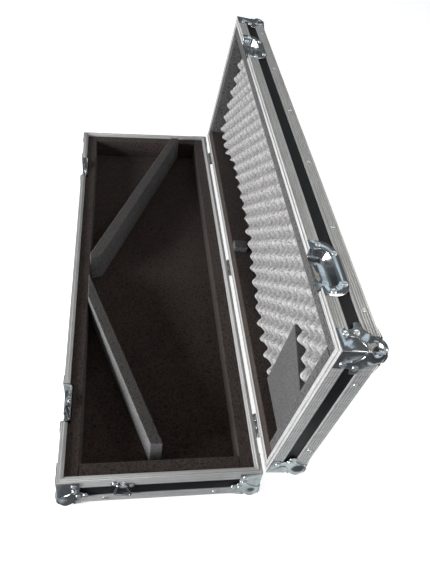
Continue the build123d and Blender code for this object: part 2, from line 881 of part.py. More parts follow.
save(in_base(floor_board(base_depth)), "base_floor_board")
save(in_base(end_boards(base_depth)), "base_end_boards")
save(in_base(side_board(base_depth, -1, dish_height)), "base_left_board")
save(in_base(side_board(base_depth, 1)), "base_right_board")
save(in_base(edge_angles(base_depth, ["left", "right"])), "base_side_angles")
save(in_base(edge_angles(base_depth, ["front", "back"])), "base_end_angles")
save(in_base(corner_angles(base_depth)), "base_corner_angles")
save(in_base(rim("left", False, dish_height)), "base_left_rim")
save(in_base(rim("right", False)), "base_right_rim")
save(in_base(rim("front", False)), "base_front_rim")
save(in_base(rim("back", False)), "base_back_rim")
save(in_base(braces(base_depth)), "base_corner_braces")
save(in_base(ball_corners(base_depth)), "base_ball_corners")
base_heads = large_rivets(base_depth, base_petal_rivets, dish_height, flange_height)
save(in_base(base_heads), "base_large_rivets")
save(in_base(small_rivets(base_depth) + strap_rivets()), "base_small_rivets")
for place, y in zip(["near", "far"], latch_ys):
    save(in_base(latch_dish(y)), f"{place}_latch_dish")
    save(in_base(latch_rotor(y)), f"{place}_latch_rotor")
    save(in_base(latch_wing(y)), f"{place}_latch_wing")
    save(in_base(latch_hook(y)), f"{place}_latch_hook")
    save(in_lid(keeper_dish(y)), f"{place}_keeper_dish")

hinge_end = hinge_width / 2
hinge_inner = hinge_middle / 2 + hinge_end_gap
save(in_base(hinge_leaves([(-hinge_end, -hinge_inner), (hinge_inner, hinge_end)])), "base_hinge_leaves")
save(in_base(hinge_pins()), "hinge_pins")

near_ring = strap_ring()
save(in_base(strap_plates()), "strap_ring_plates")
save(in_base(near_ring), "near_strap_ring")
save(in_base(near_ring.mirror(Plane.XZ)), "far_strap_ring")

base_inside = board + skin - base_depth
base_floor = base_inside + floor_foam
save(in_base(foam_sheet(floor_foam, base_inside)), "base_floor_foam")
save(in_base(side_liner(-1, base_floor, -liner_top_drop, dish_height)), "base_left_liner")
save(in_base(side_liner(1, base_floor, -liner_top_drop)), "base_right_liner")
save(in_base(end_liners(base_floor, -liner_top_drop)), "base_end_liners")
save(in_base(upper_cradle(base_floor, cradle_rise)), "upper_cradle_foam")
save(in_base(lower_cradle(base_floor, cradle_rise)), "lower_cradle_foam")

# Lid

save(in_lid(floor_board(lid_depth)), "lid_top_board")
save(in_lid(end_boards(lid_depth)), "lid_end_boards")
save(in_lid(side_board(lid_depth, -1, keeper_height)), "lid_left_board")
save(in_lid(side_board(lid_depth, 1)), "lid_right_board")
save(in_lid(edge_angles(lid_depth, ["left", "right"])), "lid_side_angles")
save(in_lid(edge_angles(lid_depth, ["front", "back"])), "lid_end_angles")
save(in_lid(corner_angles(lid_depth)), "lid_corner_angles")
save(in_lid(rim("left", True, keeper_height)), "lid_left_rim")
save(in_lid(rim("right", True)), "lid_right_rim")
save(in_lid(rim("front", True)), "lid_front_rim")
save(in_lid(rim("back", True)), "lid_back_rim")
save(in_lid(braces(lid_depth)), "lid_corner_braces")
save(in_lid(ball_corners(lid_depth)), "lid_ball_corners")
lid_heads = large_rivets(lid_depth, lid_petal_rivets, keeper_height, keeper_flange_height)
save(in_lid(lid_heads), "lid_large_rivets")
save(in_lid(small_rivets(lid_depth)), "lid_small_rivets")
save(in_lid(strikes()), "keeper_strikes")
save(in_lid(hinge_leaves([(-hinge_middle / 2, hinge_middle / 2)])), "lid_hinge_leaves")

lid_inside = board + skin - lid_depth
lid_floor = lid_inside + lid_backing
save(in_lid(foam_sheet(lid_backing, lid_inside)), "lid_backing_foam")
save(in_lid(side_liner(-1, lid_floor, -lid_liner_drop, keeper_height)), "lid_left_liner")
save(in_lid(side_liner(1, lid_floor, -lid_liner_drop)), "lid_right_liner")
save(in_lid(end_liners(lid_floor, -lid_liner_drop)), "lid_end_liners")
save(in_lid(wave_foam(lid_floor, -wave_depth)), "lid_wave_foam")
save(in_lid(lid_block(lid_floor, -block_depth)), "lid_foam_block")
save(in_lid(lid_spacer()), "lid_side_spacer")
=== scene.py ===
import math

import bmesh
import bpy
from mathutils import Matrix, Vector, noise


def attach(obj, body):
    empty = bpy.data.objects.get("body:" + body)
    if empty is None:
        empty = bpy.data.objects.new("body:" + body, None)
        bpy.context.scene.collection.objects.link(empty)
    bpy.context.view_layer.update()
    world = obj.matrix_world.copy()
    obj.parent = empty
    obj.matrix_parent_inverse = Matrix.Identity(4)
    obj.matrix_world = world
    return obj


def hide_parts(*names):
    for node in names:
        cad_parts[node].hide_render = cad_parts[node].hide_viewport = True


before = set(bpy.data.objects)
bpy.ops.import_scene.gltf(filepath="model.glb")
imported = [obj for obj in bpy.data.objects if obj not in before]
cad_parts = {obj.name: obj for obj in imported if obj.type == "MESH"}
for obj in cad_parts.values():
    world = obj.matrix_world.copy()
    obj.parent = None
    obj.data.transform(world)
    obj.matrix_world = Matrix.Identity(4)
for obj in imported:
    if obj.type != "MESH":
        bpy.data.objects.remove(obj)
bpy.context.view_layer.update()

# Sizes shared with the part, in metres; the outline in plan also in millimetres
MM = 0.001
PLAN_X = 333
PLAN_Y = 1000
HALF_W = PLAN_X * MM / 2
HALF_L = PLAN_Y * MM / 2
BASE_DEPTH = 73 * MM
LID_DEPTH = 62 * MM
RIM_HEIGHT = 80.35 * MM
RIM_GAP = 0.4 * MM
HINGE_OFFSET = 4.3 * MM
OPEN_ANGLE = math.radians(96.8)

# The waved face of the lid's foam: heights from the lid's rim in millimetres, and the painted shade that
# darkens its hollows
WAVE_TOP = -20.0
WAVE_DEEP = 17.0
HOLLOW_START = WAVE_TOP - 1.5
HOLLOW_END = WAVE_TOP - 12.0
HOLLOW_PAINTED_SHADE = 0.6


# Placing


def lid_matrix():
    """Takes a lid drawn upside down, rim at Z = 0, to where the open lid stands."""
    over = Matrix.Diagonal((1, 1, -1, 1))
    shut = Matrix.Translation((0, 0, RIM_HEIGHT + RIM_GAP)) @ over
    axis = Vector((HALF_W + HINGE_OFFSET, 0, RIM_HEIGHT + RIM_GAP / 2))
    turn = Matrix.Translation(axis) @ Matrix.Rotation(OPEN_ANGLE, 4, "Y") @ Matrix.Translation(-axis)
    return turn @ shut


BASE_PLACE = Matrix.Translation((0, 0, RIM_HEIGHT))
LID_PLACE = lid_matrix()


# Material helpers


def new_group(name, inputs, outputs):
    """An empty shader group with its sockets: name to (socket type, default)."""
    group = bpy.data.node_groups.new(name, "ShaderNodeTree")
    for label, (kind, value) in inputs.items():
        socket = group.interface.new_socket(label, in_out="INPUT", socket_type=kind)
        socket.default_value = value
    for label, kind in outputs.items():
        group.interface.new_socket(label, in_out="OUTPUT", socket_type=kind)
    start = group.nodes.new("NodeGroupInput")
    end = group.nodes.new("NodeGroupOutput")
    return group, start, end


def math_node(tree, operation, a, b, c=None):
    """A maths node over sockets or numbers; returns its output."""
    node = tree.nodes.new("ShaderNodeMath")
    node.operation = operation
    for slot, value in zip(node.inputs, (a, b, c)):
        if value is None:
            continue
        if isinstance(value, (int, float)):
            slot.default_value = value
        else:
            tree.links.new(value, slot)
    return node.outputs[0]


def mix_colour(tree, factor, a, b):
    """A colour between a and b, each a socket or an RGBA value; returns the output."""
    # several sockets of a mix node share a name: its colours are inputs 6 and 7, and output 2
    node = tree.nodes.new("ShaderNodeMix")
    node.data_type = "RGBA"
    for slot, value in ((node.inputs[0], factor), (node.inputs[6], a), (node.inputs[7], b)):
        if isinstance(value, (tuple, float, int)):
            slot.default_value = value
        else:
            tree.links.new(value, slot)
    return node.outputs[2]


def ramp(tree, value, low, high):
    """Stretches a value so that low becomes 0 and high 1."""
    node = tree.nodes.new("ShaderNodeMapRange")
    node.inputs["From Min"].default_value = low
    node.inputs["From Max"].default_value = high
    tree.links.new(value, node.inputs["Value"])
    return node.outputs["Result"]


def coordinate(tree, kind="Object"):
    """A texture coordinate, as a socket."""
    return tree.nodes.new("ShaderNodeTexCoord").outputs[kind]


def axis_of(tree, kind, axis):
    """One axis of a texture coordinate, as a socket."""
    split = tree.nodes.new("ShaderNodeSeparateXYZ")
    tree.links.new(coordinate(tree, kind), split.inputs[0])
    return split.outputs[axis]


def noise_node(tree, vector, scale, detail=3.0, rough=0.5):
    """A noise texture, its scale a socket or a number; returns its value."""
    node = tree.nodes.new("ShaderNodeTexNoise")
    node.inputs["Detail"].default_value = detail
    node.inputs["Roughness"].default_value = rough
    tree.links.new(vector, node.inputs["Vector"])
    if isinstance(scale, (int, float)):
        node.inputs["Scale"].default_value = scale
    else:
        tree.links.new(scale, node.inputs["Scale"])
    return node.outputs["Fac"]


# Shared effects


def build_handling_group():
    """Finger marks and dust: a soft blotchy mask and a fine speck mask."""
    inputs = {"Scale": ("NodeSocketFloat", 14.0), "Speck Scale": ("NodeSocketFloat", 900.0)}
    outputs = {"Marks": "NodeSocketFloat", "Specks": "NodeSocketFloat"}
    group, start, end = new_group("handling marks", inputs, outputs)
    place = coordinate(group)
    blotch = noise_node(group, place, start.outputs["Scale"], 5.0, 0.6)
    speck = noise_node(group, place, start.outputs["Speck Scale"], 1.0, 0.5)
    group.links.new(ramp(group, blotch, 0.38, 0.68), end.inputs["Marks"])
    group.links.new(ramp(group, speck, 0.66, 0.78), end.inputs["Specks"])
    return group


def build_drawn_group():
    """Lines left by drawing metal through a die, along one axis of the object, strong enough to stand in
    for painted glint streaks.
    """
    inputs = {"Along": ("NodeSocketVector", (900.0, 6.0, 900.0))}
    outputs = {"Lines": "NodeSocketFloat", "Height": "NodeSocketFloat"}
    group, start, end = new_group("drawn lines", inputs, outputs)
    place = coordinate(group)
    stretch = group.nodes.new("ShaderNodeVectorMath")
    stretch.operation = "MULTIPLY"
    group.links.new(place, stretch.inputs[0])
    group.links.new(start.outputs["Along"], stretch.inputs[1])
    lines = noise_node(group, stretch.outputs[0], 1.0, 4.0, 0.65)
    group.links.new(ramp(group, lines, 0.3, 0.7), end.inputs["Lines"])
    group.links.new(lines, end.inputs["Height"])
    return group


def build_foam_group():
    """Open cells of cut foam: dark pits between light struts, with slow cloudy patches."""
    inputs = {"Cell Scale": ("NodeSocketFloat", 620.0), "Cloud Scale": ("NodeSocketFloat", 18.0)}
    outputs = {"Pits": "NodeSocketFloat", "Clouds": "NodeSocketFloat", "Height": "NodeSocketFloat"}
    group, start, end = new_group("foam cells", inputs, outputs)
    place = coordinate(group)
    cells = group.nodes.new("ShaderNodeTexVoronoi")
    group.links.new(place, cells.inputs["Vector"])
    group.links.new(start.outputs["Cell Scale"], cells.inputs["Scale"])
    coarse_scale = math_node(group, "MULTIPLY", start.outputs["Cell Scale"], 0.8)
    coarse = noise_node(group, place, coarse_scale, 2.0, 0.6)
    clouds = noise_node(group, place, start.outputs["Cloud Scale"], 4.0, 0.6)
    struts = ramp(group, cells.outputs["Distance"], 0.15, 0.75)
    rough = ramp(group, coarse, 0.3, 0.7)
    pits = math_node(group, "MULTIPLY", struts, rough)
    group.links.new(pits, end.inputs["Pits"])
    group.links.new(ramp(group, clouds, 0.3, 0.7), end.inputs["Clouds"])
    group.links.new(math_node(group, "SUBTRACT", 1.0, pits), end.inputs["Height"])
    return group


def build_stipple_group():
    """Fine raised grain rolled into phenolic film."""
    inputs = {"Scale": ("NodeSocketFloat", 1100.0)}
    outputs = {"Grain": "NodeSocketFloat"}
    group, start, end = new_group("stippled film", inputs, outputs)
    place = coordinate(group)
    cells = group.nodes.new("ShaderNodeTexVoronoi")
    group.links.new(place, cells.inputs["Vector"])
    group.links.new(start.outputs["Scale"], cells.inputs["Scale"])
    group.links.new(ramp(group, cells.outputs["Distance"], 0.1, 0.6), end.inputs["Grain"])
    return group


HANDLING = build_handling_group()
DRAWN = build_drawn_group()
FOAM = build_foam_group()
STIPPLE = build_stipple_group()


def place_group(tree, group, values):
    """A group in a material, with its own values."""
    node = tree.nodes.new("ShaderNodeGroup")
    node.node_tree = group
    for label, value in values.items():
        node.inputs[label].default_value = value
    return node


def new_material(name):
    """A material with its node tree and the shader in it."""
    material = bpy.data.materials.new(name)
    material.use_nodes = True
    tree = material.node_tree
    return material, tree, tree.nodes["Principled BSDF"]


def add_bump(tree, shader, height, strength, distance):
    """Raises a shader's surface by a height socket, at most by a distance in metres."""
    bump = tree.nodes.new("ShaderNodeBump")
    bump.inputs["Strength"].default_value = strength
    bump.inputs["Distance"].default_value = distance
    tree.links.new(height, bump.inputs["Height"])
    tree.links.new(bump.outputs["Normal"], shader.inputs["Normal"])


def drawn_aluminium(name, along, colour, dark):
    """Clear-anodised extrusion, satin, its drawing lines running one way, partly painted as bright glint
    streaks.
    """
    material, tree, shader = new_material(name)
    shader.inputs["Metallic"].default_value = 0.30
    lines = place_group(tree, DRAWN, {"Along": along})
    marks = place_group(tree, HANDLING, {"Scale": 22.0})
    # the drawing lines as bright and dull streaks: real lines, partly painted glints along the extrusion
    lines_and_glints = mix_colour(tree, lines.outputs["Lines"], dark, colour)
    dulled = math_node(tree, "MULTIPLY", marks.outputs["Marks"], 0.35)
    tint = mix_colour(tree, dulled, lines_and_glints, dark)
    tree.links.new(tint, shader.inputs["Base Color"])
    base = math_node(tree, "MULTIPLY_ADD", lines.outputs["Lines"], 0.10, 0.38)
    rough = math_node(tree, "MULTIPLY_ADD", marks.outputs["Marks"], 0.10, base)
    tree.links.new(rough, shader.inputs["Roughness"])
    add_bump(tree, shader, lines.outputs["Height"], strength=0.25, distance=0.1 * MM)
    return material


def plated_steel(name, colour, dark, gloss):
    """Bright zinc or nickel plate on pressed steel, a little cloudy from handling."""
    material, tree, shader = new_material(name)
    shader.inputs["Metallic"].default_value = 1.0
    marks = place_group(tree, HANDLING, {"Scale": 60.0, "Speck Scale": 1500.0})
    tint = mix_colour(tree, marks.outputs["Marks"], colour, dark)
    tree.links.new(tint, shader.inputs["Base Color"])
    rough = math_node(tree, "MULTIPLY_ADD", marks.outputs["Marks"], 0.12, gloss)
    tree.links.new(rough, shader.inputs["Roughness"])
    add_bump(tree, shader, marks.outputs["Marks"], strength=0.02, distance=0.2 * MM)
    return material


def black_film():
    """Phenolic film on the outside of the boards: black, with a rolled grain and light dust."""
    material, tree, shader = new_material("black film")
    grain = place_group(tree, STIPPLE, {"Scale": 900.0})
    marks = place_group(tree, HANDLING, {"Scale": 9.0, "Speck Scale": 1300.0})
    dust = math_node(tree, "MULTIPLY", marks.outputs["Marks"], 0.35)
    tint = mix_colour(tree, dust, (0.006, 0.006, 0.0075, 1), (0.015, 0.015, 0.018, 1))
    fleck = math_node(tree, "MULTIPLY", marks.outputs["Specks"], 0.22)
    flecked = mix_colour(tree, fleck, tint, (0.10, 0.10, 0.105, 1))
    tree.links.new(flecked, shader.inputs["Base Color"])
    rough = math_node(tree, "MULTIPLY_ADD", marks.outputs["Marks"], 0.16, 0.42)
    tree.links.new(rough, shader.inputs["Roughness"])
    shader.inputs["Specular IOR Level"].default_value = 0.28
    add_bump(tree, shader, grain.outputs["Grain"], strength=0.35, distance=0.4 * MM)
    return material


def hollow_share(tree):
    """How far a point of the lid's waved face lies down in a hollow, from 0 to 1, for the painted shade
    there.
    """
    upward = LID_PLACE.col[2].to_3d()
    level = LID_PLACE.translation.dot(upward)
    place = coordinate(tree)
    height = tree.nodes.new("ShaderNodeVectorMath")
    height.operation = "DOT_PRODUCT"
    tree.links.new(place, height.inputs[0])
    height.inputs[1].default_value = upward
    return ramp(tree, height.outputs["Value"], level + HOLLOW_START * MM, level + HOLLOW_END * MM)


def cut_foam(name, light, dark, cell=300.0, pit_share=1.0, cloud=0.25, waved=False, skin=None):
    """Open-cell foam: light struts, dark pits, slow patches; faces looking up take the skin colour as
    painted shade, and a waved face takes painted shade in its hollows.
    """
    material, tree, shader = new_material(name)
    cells = place_group(tree, FOAM, {"Cell Scale": cell})
    # painted light and shade: faces looking up take the darker colour given as skin, so the sides read as
    # lit
    if skin:
        facing_up = ramp(tree, axis_of(tree, "Normal", "Z"), 0.55, 0.95)
        light = mix_colour(tree, facing_up, light, skin)
    patch = math_node(tree, "MULTIPLY", cells.outputs["Clouds"], cloud)
    body = mix_colour(tree, patch, light, dark)
    # painted shade: the waved face darkens towards the bottom of its hollows, where shade falls
    if waved:
        hollow = math_node(tree, "MULTIPLY", hollow_share(tree), HOLLOW_PAINTED_SHADE)
        body = mix_colour(tree, hollow, body, dark)
    pits = math_node(tree, "MULTIPLY", cells.outputs["Pits"], pit_share)
    tint = mix_colour(tree, pits, body, dark)
    tree.links.new(tint, shader.inputs["Base Color"])
    rough = math_node(tree, "MULTIPLY_ADD", cells.outputs["Pits"], 0.06, 0.90)
    tree.links.new(rough, shader.inputs["Roughness"])
    shader.inputs["Specular IOR Level"].default_value = 0.15
    shader.inputs["Sheen Weight"].default_value = 0.12
    shader.inputs["Sheen Roughness"].default_value = 0.6
    add_bump(tree, shader, cells.outputs["Height"], strength=0.6, distance=0.8 * MM)
    return material


# bright and dull ends of the drawn streaks, which partly paint glints along the extrusions
BRIGHT = (0.84, 0.835, 0.825, 1)
DULL = (0.40, 0.39, 0.38, 1)
ALONG_Y = drawn_aluminium("long extrusions", (650.0, 1.2, 650.0), BRIGHT, DULL)
ALONG_X = drawn_aluminium("end extrusions", (1.2, 650.0, 650.0), BRIGHT, DULL)
UPRIGHT = drawn_aluminium("corner extrusions", (650.0, 650.0, 5.0), BRIGHT, DULL)
PLATE = plated_steel("pressed steel plate", (0.68, 0.685, 0.69, 1), (0.46, 0.465, 0.47, 1), 0.11)
RIVET = plated_steel("rivet steel", (0.90, 0.90, 0.90, 1), (0.74, 0.74, 0.74, 1), 0.28)
FILM = black_film()
LINING = cut_foam("charcoal lining foam", (0.066, 0.046, 0.038, 1), (0.002, 0.0015, 0.001, 1))
FLOOR = cut_foam("floor foam", (0.068, 0.043, 0.034, 1), (0.001, 0.001, 0.001, 1))
# the strips' sides take a lit colour and their tops a darker skin colour: painted light and shade of a low
# light from the side
STRIP = cut_foam("cut strip foam", (0.220, 0.216, 0.217, 1), (0.010, 0.009, 0.009, 1),
                 cell=420.0, skin=(0.082, 0.073, 0.069, 1))
LID_LINING = cut_foam("lid lining foam", (0.125, 0.121, 0.123, 1), (0.008, 0.007, 0.007, 1))
# waved=True paints shade into the hollows of the waved face
WAVE = cut_foam("grey wave foam", (0.56, 0.547, 0.543, 1), (0.085, 0.081, 0.081, 1),
                cell=330.0, pit_share=0.9, cloud=0.12, waved=True)
FIRM = cut_foam("firm block foam", (0.120, 0.117, 0.118, 1), (0.025, 0.023, 0.024, 1),
                cell=400.0, pit_share=0.9, cloud=0.2)


# CAD pieces that stay: crisp pressed and extruded edges, and their finish

CRISP_EDGE = 0.25 * MM
ROLLED_EDGE = 0.6 * MM
WELD_GAP = 0.002 * MM
EDGE_ANGLE = math.radians(38)


def dress(node, material, edge):
    """Gives a CAD node its finish, and a small bevel on its sharp edges."""
    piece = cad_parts[node]
    piece.data.materials.clear()
    piece.data.materials.append(material)
    # the CAD's faces come with edges of their own, which the weld joins
    weld = piece.modifiers.new("weld", "WELD")
    weld.merge_threshold = WELD_GAP
    bevel = piece.modifiers.new("edges", "BEVEL")
    bevel.width = edge
    bevel.segments = 2
    bevel.limit_method = "ANGLE"
    bevel.angle_limit = EDGE_ANGLE
    bevel.harden_normals = True
    # on rolled edges the smallest facet beside them must not narrow the bevel
    bevel.use_clamp_overlap = edge < ROLLED_EDGE
    for face in piece.data.polygons:
        face.use_smooth = True


FINISHES = {
    "base_side_angles": ALONG_Y, "lid_side_angles": ALONG_Y,
    "base_left_rim": ALONG_Y, "base_right_rim": ALONG_Y,
    "lid_left_rim": ALONG_Y, "lid_right_rim": ALONG_Y,
    "base_end_angles": ALONG_X, "lid_end_angles": ALONG_X,
    "base_front_rim": ALONG_X, "base_back_rim": ALONG_X,
    "lid_front_rim": ALONG_X, "lid_back_rim": ALONG_X,
    "base_corner_angles": UPRIGHT, "lid_corner_angles": UPRIGHT,
    "base_large_rivets": RIVET, "base_small_rivets": RIVET,
    "lid_large_rivets": RIVET, "lid_small_rivets": RIVET,
}
for half, large_board in (("base", "floor_board"), ("lid", "top_board")):
    for board in (large_board, "end_boards", "left_board", "right_board"):
        FINISHES[f"{half}_{board}"] = FILM
    for hardware in ("corner_braces", "ball_corners", "hinge_leaves"):
        FINISHES[f"{half}_{hardware}"] = PLATE
for end in ("near", "far"):
    for hardware in ("latch_dish", "latch_rotor", "latch_wing", "latch_hook", "keeper_dish", "strap_ring"):
        FINISHES[f"{end}_{hardware}"] = PLATE
for hardware in ("keeper_strikes", "hinge_pins", "strap_ring_plates"):
    FINISHES[hardware] = PLATE
for node, material in FINISHES.items():
    dress(node, material, ROLLED_EDGE if node.endswith("ball_corners") else CRISP_EDGE)


# Beads along the edge of the ball corners' plates, beside the folded braces: the run over one face is
# in millimetres from the case's upright edge and from the floor or lid side, the fold is on that edge

PLATE_SKIN = 1.5 * MM
BEAD_RADIUS = 1.0 * MM
BEAD_RUN = [(22.0, 38.5), (21.0, 35.5), (15.0, 30.0), (9.0, 26.3), (4.0, 25.2)]
BEAD_FOLD = 25.0


def bead_path(x_sign, y_sign, depth):
    """One bead over both upright faces of a corner, in the frame with the rim at height 0."""
    def point(from_side, from_end, height):
        return (x_sign * (HALF_W - from_side), y_sign * (HALF_L - from_end), height * MM - depth)
    end_face = [point(u * MM, -PLATE_SKIN, v) for u, v in BEAD_RUN]
    side_face = [point(-PLATE_SKIN, u * MM, v) for u, v in BEAD_RUN]
    fold = point(-PLATE_SKIN, -PLATE_SKIN, BEAD_FOLD)
    return end_face + [fold] + side_face[::-1]


def corner_beads(name, place, depth, body):
    """Rolled edges of one half's four ball corners."""
    curve = bpy.data.curves.new(name, "CURVE")
    curve.dimensions = "3D"
    curve.bevel_depth = BEAD_RADIUS
    curve.bevel_resolution = 3
    curve.resolution_u = 5
    for x_sign in (-1, 1):
        for y_sign in (-1, 1):
            path = bead_path(x_sign, y_sign, depth)
            spline = curve.splines.new("NURBS")
            spline.points.add(len(path) - 1)
            for knot, spot in zip(spline.points, path):
                knot.co = (*(place @ Vector(spot)), 1.0)
            spline.order_u = 3
            spline.use_endpoint_u = True
    piece = bpy.data.objects.new(name, curve)
    bpy.context.collection.objects.link(piece)
    curve.materials.append(PLATE)
    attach(piece, body)


corner_beads("base_corner_beads", BASE_PLACE, BASE_DEPTH, "base")
corner_beads("lid_corner_beads", LID_PLACE, LID_DEPTH, "lid")


# Foam pieces, drawn in millimetres from the near left corner, with the rim at height 0. A pair of
# heights is a slab's lower and upper face.

WALL = 11.3
LINER_END = 34.3
FOAM_START = 34.6
FAR_X = PLAN_X - WALL
FAR_Y = PLAN_Y - WALL
FLOOR_SHEET = (-64.0, -50.0)
BASE_LINERS = (-50.0, -4.0)
STRIPS = (-50.0, 14.0)
UPPER_PLAN = [(34.6, 509.0), (34.6, 493.0), (59.0, 503.0), (255.2, 965.4), (233.4, 965.4)]
LOWER_PLAN = [(34.6, 386.0), (149.0, 54.0), (170.2, 54.0), (34.6, 447.4)]
LID_SHEET = (-53.0, -47.0)
LID_LINERS = (-47.0, -1.5)
LID_SEAM = 1.5
BLOCK = (-47.0, -19.5)
BLOCK_PLAN = [(190.0, 34.6), (298.4, 34.6), (298.4, 162.0), (143.0, 162.0)]
PAD = (-30.0, -1.5)
PAD_PLAN = [(285.4, 492.0), (298.4, 492.0), (298.4, 515.0), (285.4, 515.0)]
NOTCH_X = 16.5
NOTCHES = [(109.2, 187.8), (805.7, 884.3)]
KEEPER_NOTCH = -30.3
CUT_ROUNDING = 1.5
WAVE_ROUNDING = 0.3
CUT_ANGLE = math.radians(50)


def foam_object(name, builder, body, material, nodes, rounding=CUT_ROUNDING):
    """Turns a builder's solid into a foam piece of the base or lid that stands for CAD nodes."""
    place = {"base": BASE_PLACE, "lid": LID_PLACE}[body]
    form = bmesh.new()
    builder(form)
    corner = Matrix.Translation((-HALF_W, -HALF_L, 0)) @ Matrix.Scale(MM, 4)
    bmesh.ops.transform(form, matrix=place @ corner, verts=form.verts)
    bmesh.ops.recalc_face_normals(form, faces=form.faces)
    mesh = bpy.data.meshes.new(name)
    form.to_mesh(mesh)
    form.free()
    piece = bpy.data.objects.new(name, mesh)
    bpy.context.collection.objects.link(piece)
    mesh.materials.append(material)
    for face in mesh.polygons:
        face.use_smooth = True
    bevel = piece.modifiers.new("cut edges", "BEVEL")
    bevel.width = rounding * MM
    bevel.segments = 3
    bevel.limit_method = "ANGLE"
    bevel.angle_limit = CUT_ANGLE
    bevel.harden_normals = True
    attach(piece, body)
    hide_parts(*nodes)


def prism(outline, low, high):
    """A builder for a slab with that plan outline, between two heights."""
    def build(form):
        under = [form.verts.new((x, y, low)) for x, y in outline]
        over = [form.verts.new((x, y, high)) for x, y in outline]
        form.faces.new(list(reversed(under)))
        form.faces.new(over)
        for k in range(len(outline)):
            j = (k + 1) % len(outline)
            form.faces.new((under[k], under[j], over[j], over[k]))
    return build


def rectangle(x0, y0, x1, y1):
    """Corners of a rectangle in plan, one after another."""
    return [(x0, y0), (x1, y0), (x1, y1), (x0, y1)]


def several(*builders):
    """A builder that runs others one after another."""
    def build(form):
        for builder in builders:
            builder(form)
    return build


def notched_strip():
    """Plan of a liner on the latch side, hollowed behind the dishes."""
    outline = [(LINER_END, WALL), (LINER_END, FAR_Y), (WALL, FAR_Y)]
    for low, high in reversed(NOTCHES):
        outline += [(WALL, high), (NOTCH_X, high), (NOTCH_X, low), (WALL, low)]
    return outline + [(WALL, WALL)]


def end_strips(low, high, seam=0.0):
    """Both end liners, between the side liners, with an open seam on the latch side if given."""
    near = rectangle(FOAM_START + seam, WALL, PLAN_X - FOAM_START, LINER_END)
    far = rectangle(FOAM_START + seam, PLAN_Y - LINER_END, PLAN_X - FOAM_START, FAR_Y)
    return several(prism(near, low, high), prism(far, low, high))


FULL_PLAN = rectangle(WALL, WALL, FAR_X, FAR_Y)
LEFT_PLAN = rectangle(WALL, WALL, LINER_END, FAR_Y)
RIGHT_PLAN = rectangle(PLAN_X - LINER_END, WALL, FAR_X, FAR_Y)


def base_foam():
    """Floor sheet, liners and the two slanted strips that hold the contents."""
    right = prism(RIGHT_PLAN, *BASE_LINERS)
    left = prism(notched_strip(), *BASE_LINERS)
    foam_object("floor_sheet", prism(FULL_PLAN, *FLOOR_SHEET), "base", FLOOR, ["base_floor_foam"])
    foam_object("base_liner_right", right, "base", LINING, ["base_right_liner"])
    foam_object("base_liner_left", left, "base", LINING, ["base_left_liner"])
    foam_object("base_liner_ends", end_strips(*BASE_LINERS), "base", LINING, ["base_end_liners"])
    foam_object("upper_strip", prism(UPPER_PLAN, *STRIPS), "base", STRIP, ["upper_cradle_foam"])
    foam_object("lower_strip", prism(LOWER_PLAN, *STRIPS), "base", STRIP, ["lower_cradle_foam"])


def lid_foam():
    """Backing sheet, liners, firm block and spacer of the lid."""
    low, high = LID_LINERS
    right = prism(RIGHT_PLAN, low, high)
    left = several(prism(LEFT_PLAN, low, KEEPER_NOTCH), prism(notched_strip(), KEEPER_NOTCH, high))
    ends = end_strips(low, high, LID_SEAM)
    foam_object("lid_sheet", prism(FULL_PLAN, *LID_SHEET), "lid", FLOOR, ["lid_backing_foam"])
    foam_object("lid_liner_right", right, "lid", LINING, ["lid_right_liner"])
    foam_object("lid_liner_left", left, "lid", LID_LINING, ["lid_left_liner"])
    foam_object("lid_liner_ends", ends, "lid", LID_LINING, ["lid_end_liners"])
    foam_object("lid_block", prism(BLOCK_PLAN, *BLOCK), "lid", FIRM, ["lid_foam_block"])
    foam_object("lid_pad", prism(PAD_PLAN, *PAD), "lid", LID_LINING, ["lid_side_spacer"])


# Wave-cut foam of the lid. Up to SPLIT_Y it ends beside the firm block, beyond it at WAVE_EDGE, a
# list of (Y, X) points along its hand-trimmed edge.

WAVE_PITCH = (36.6, 38.0)
WAVE_START = (251.6, 431.0)
WAVE_LOW = -47.0
WAVE_ROUNDNESS = 0.85
SAW_DEPTH = 0.6
SAW_SCALE = 0.09
NEAR_ROWS = 44
FAR_ROWS = 264
NEAR_X = 187.0
SPLIT_X = 140.0
SPLIT_Y = 165.0
INNER_COLUMNS = 35
OUTER_COLUMNS = 53
WAVE_EDGE = [(165.0, 297.4), (300.0, 297.4), (540.0, 256.0),
             (770.0, 256.0), (850.0, 284.0), (955.0, 281.0)]


def wave_height(x, y):
    """Rounded peaks and hollows in a staggered grid, with the unevenness of a sawn cut."""
    across = math.sin(math.tau * (x - WAVE_START[0]) / WAVE_PITCH[0])
    along = math.sin(math.tau * (y - WAVE_START[1]) / WAVE_PITCH[1])
    swell = math.copysign(abs(across * along) ** WAVE_ROUNDNESS, across * along)
    rough = noise.noise(Vector((x * SAW_SCALE, y * SAW_SCALE, 0.0)))
    return WAVE_TOP - WAVE_DEEP / 2 * (1 - swell) - SAW_DEPTH * (1 + rough)


def edge_at(y):
    """Where the hand-trimmed edge along the hinge side lies."""
    for (y0, x0), (y1, x1) in zip(WAVE_EDGE, WAVE_EDGE[1:]):
        if y <= y1:
            return x0 + (x1 - x0) * (y - y0) / (y1 - y0)
    return WAVE_EDGE[-1][1]


def spread(low, high, steps):
    """Evenly spaced values from low to high, both included."""
    return [low + (high - low) * k / steps for k in range(steps + 1)]


def wave_rows():
    """Plan points of the waved face, in rows from the near end to the far end."""
    near = []
    for y, edge in zip(spread(FOAM_START, SPLIT_Y, NEAR_ROWS), spread(NEAR_X, SPLIT_X, NEAR_ROWS)):
        near.append([(x, y) for x in spread(FOAM_START, edge, INNER_COLUMNS)])
    far = []
    inner = spread(FOAM_START, SPLIT_X, INNER_COLUMNS)
    for y in spread(SPLIT_Y, WAVE_EDGE[-1][0], FAR_ROWS):
        outer = spread(SPLIT_X, edge_at(y), OUTER_COLUMNS)[1:]
        far.append([(x, y) for x in inner + outer])
    return near[:-1] + far


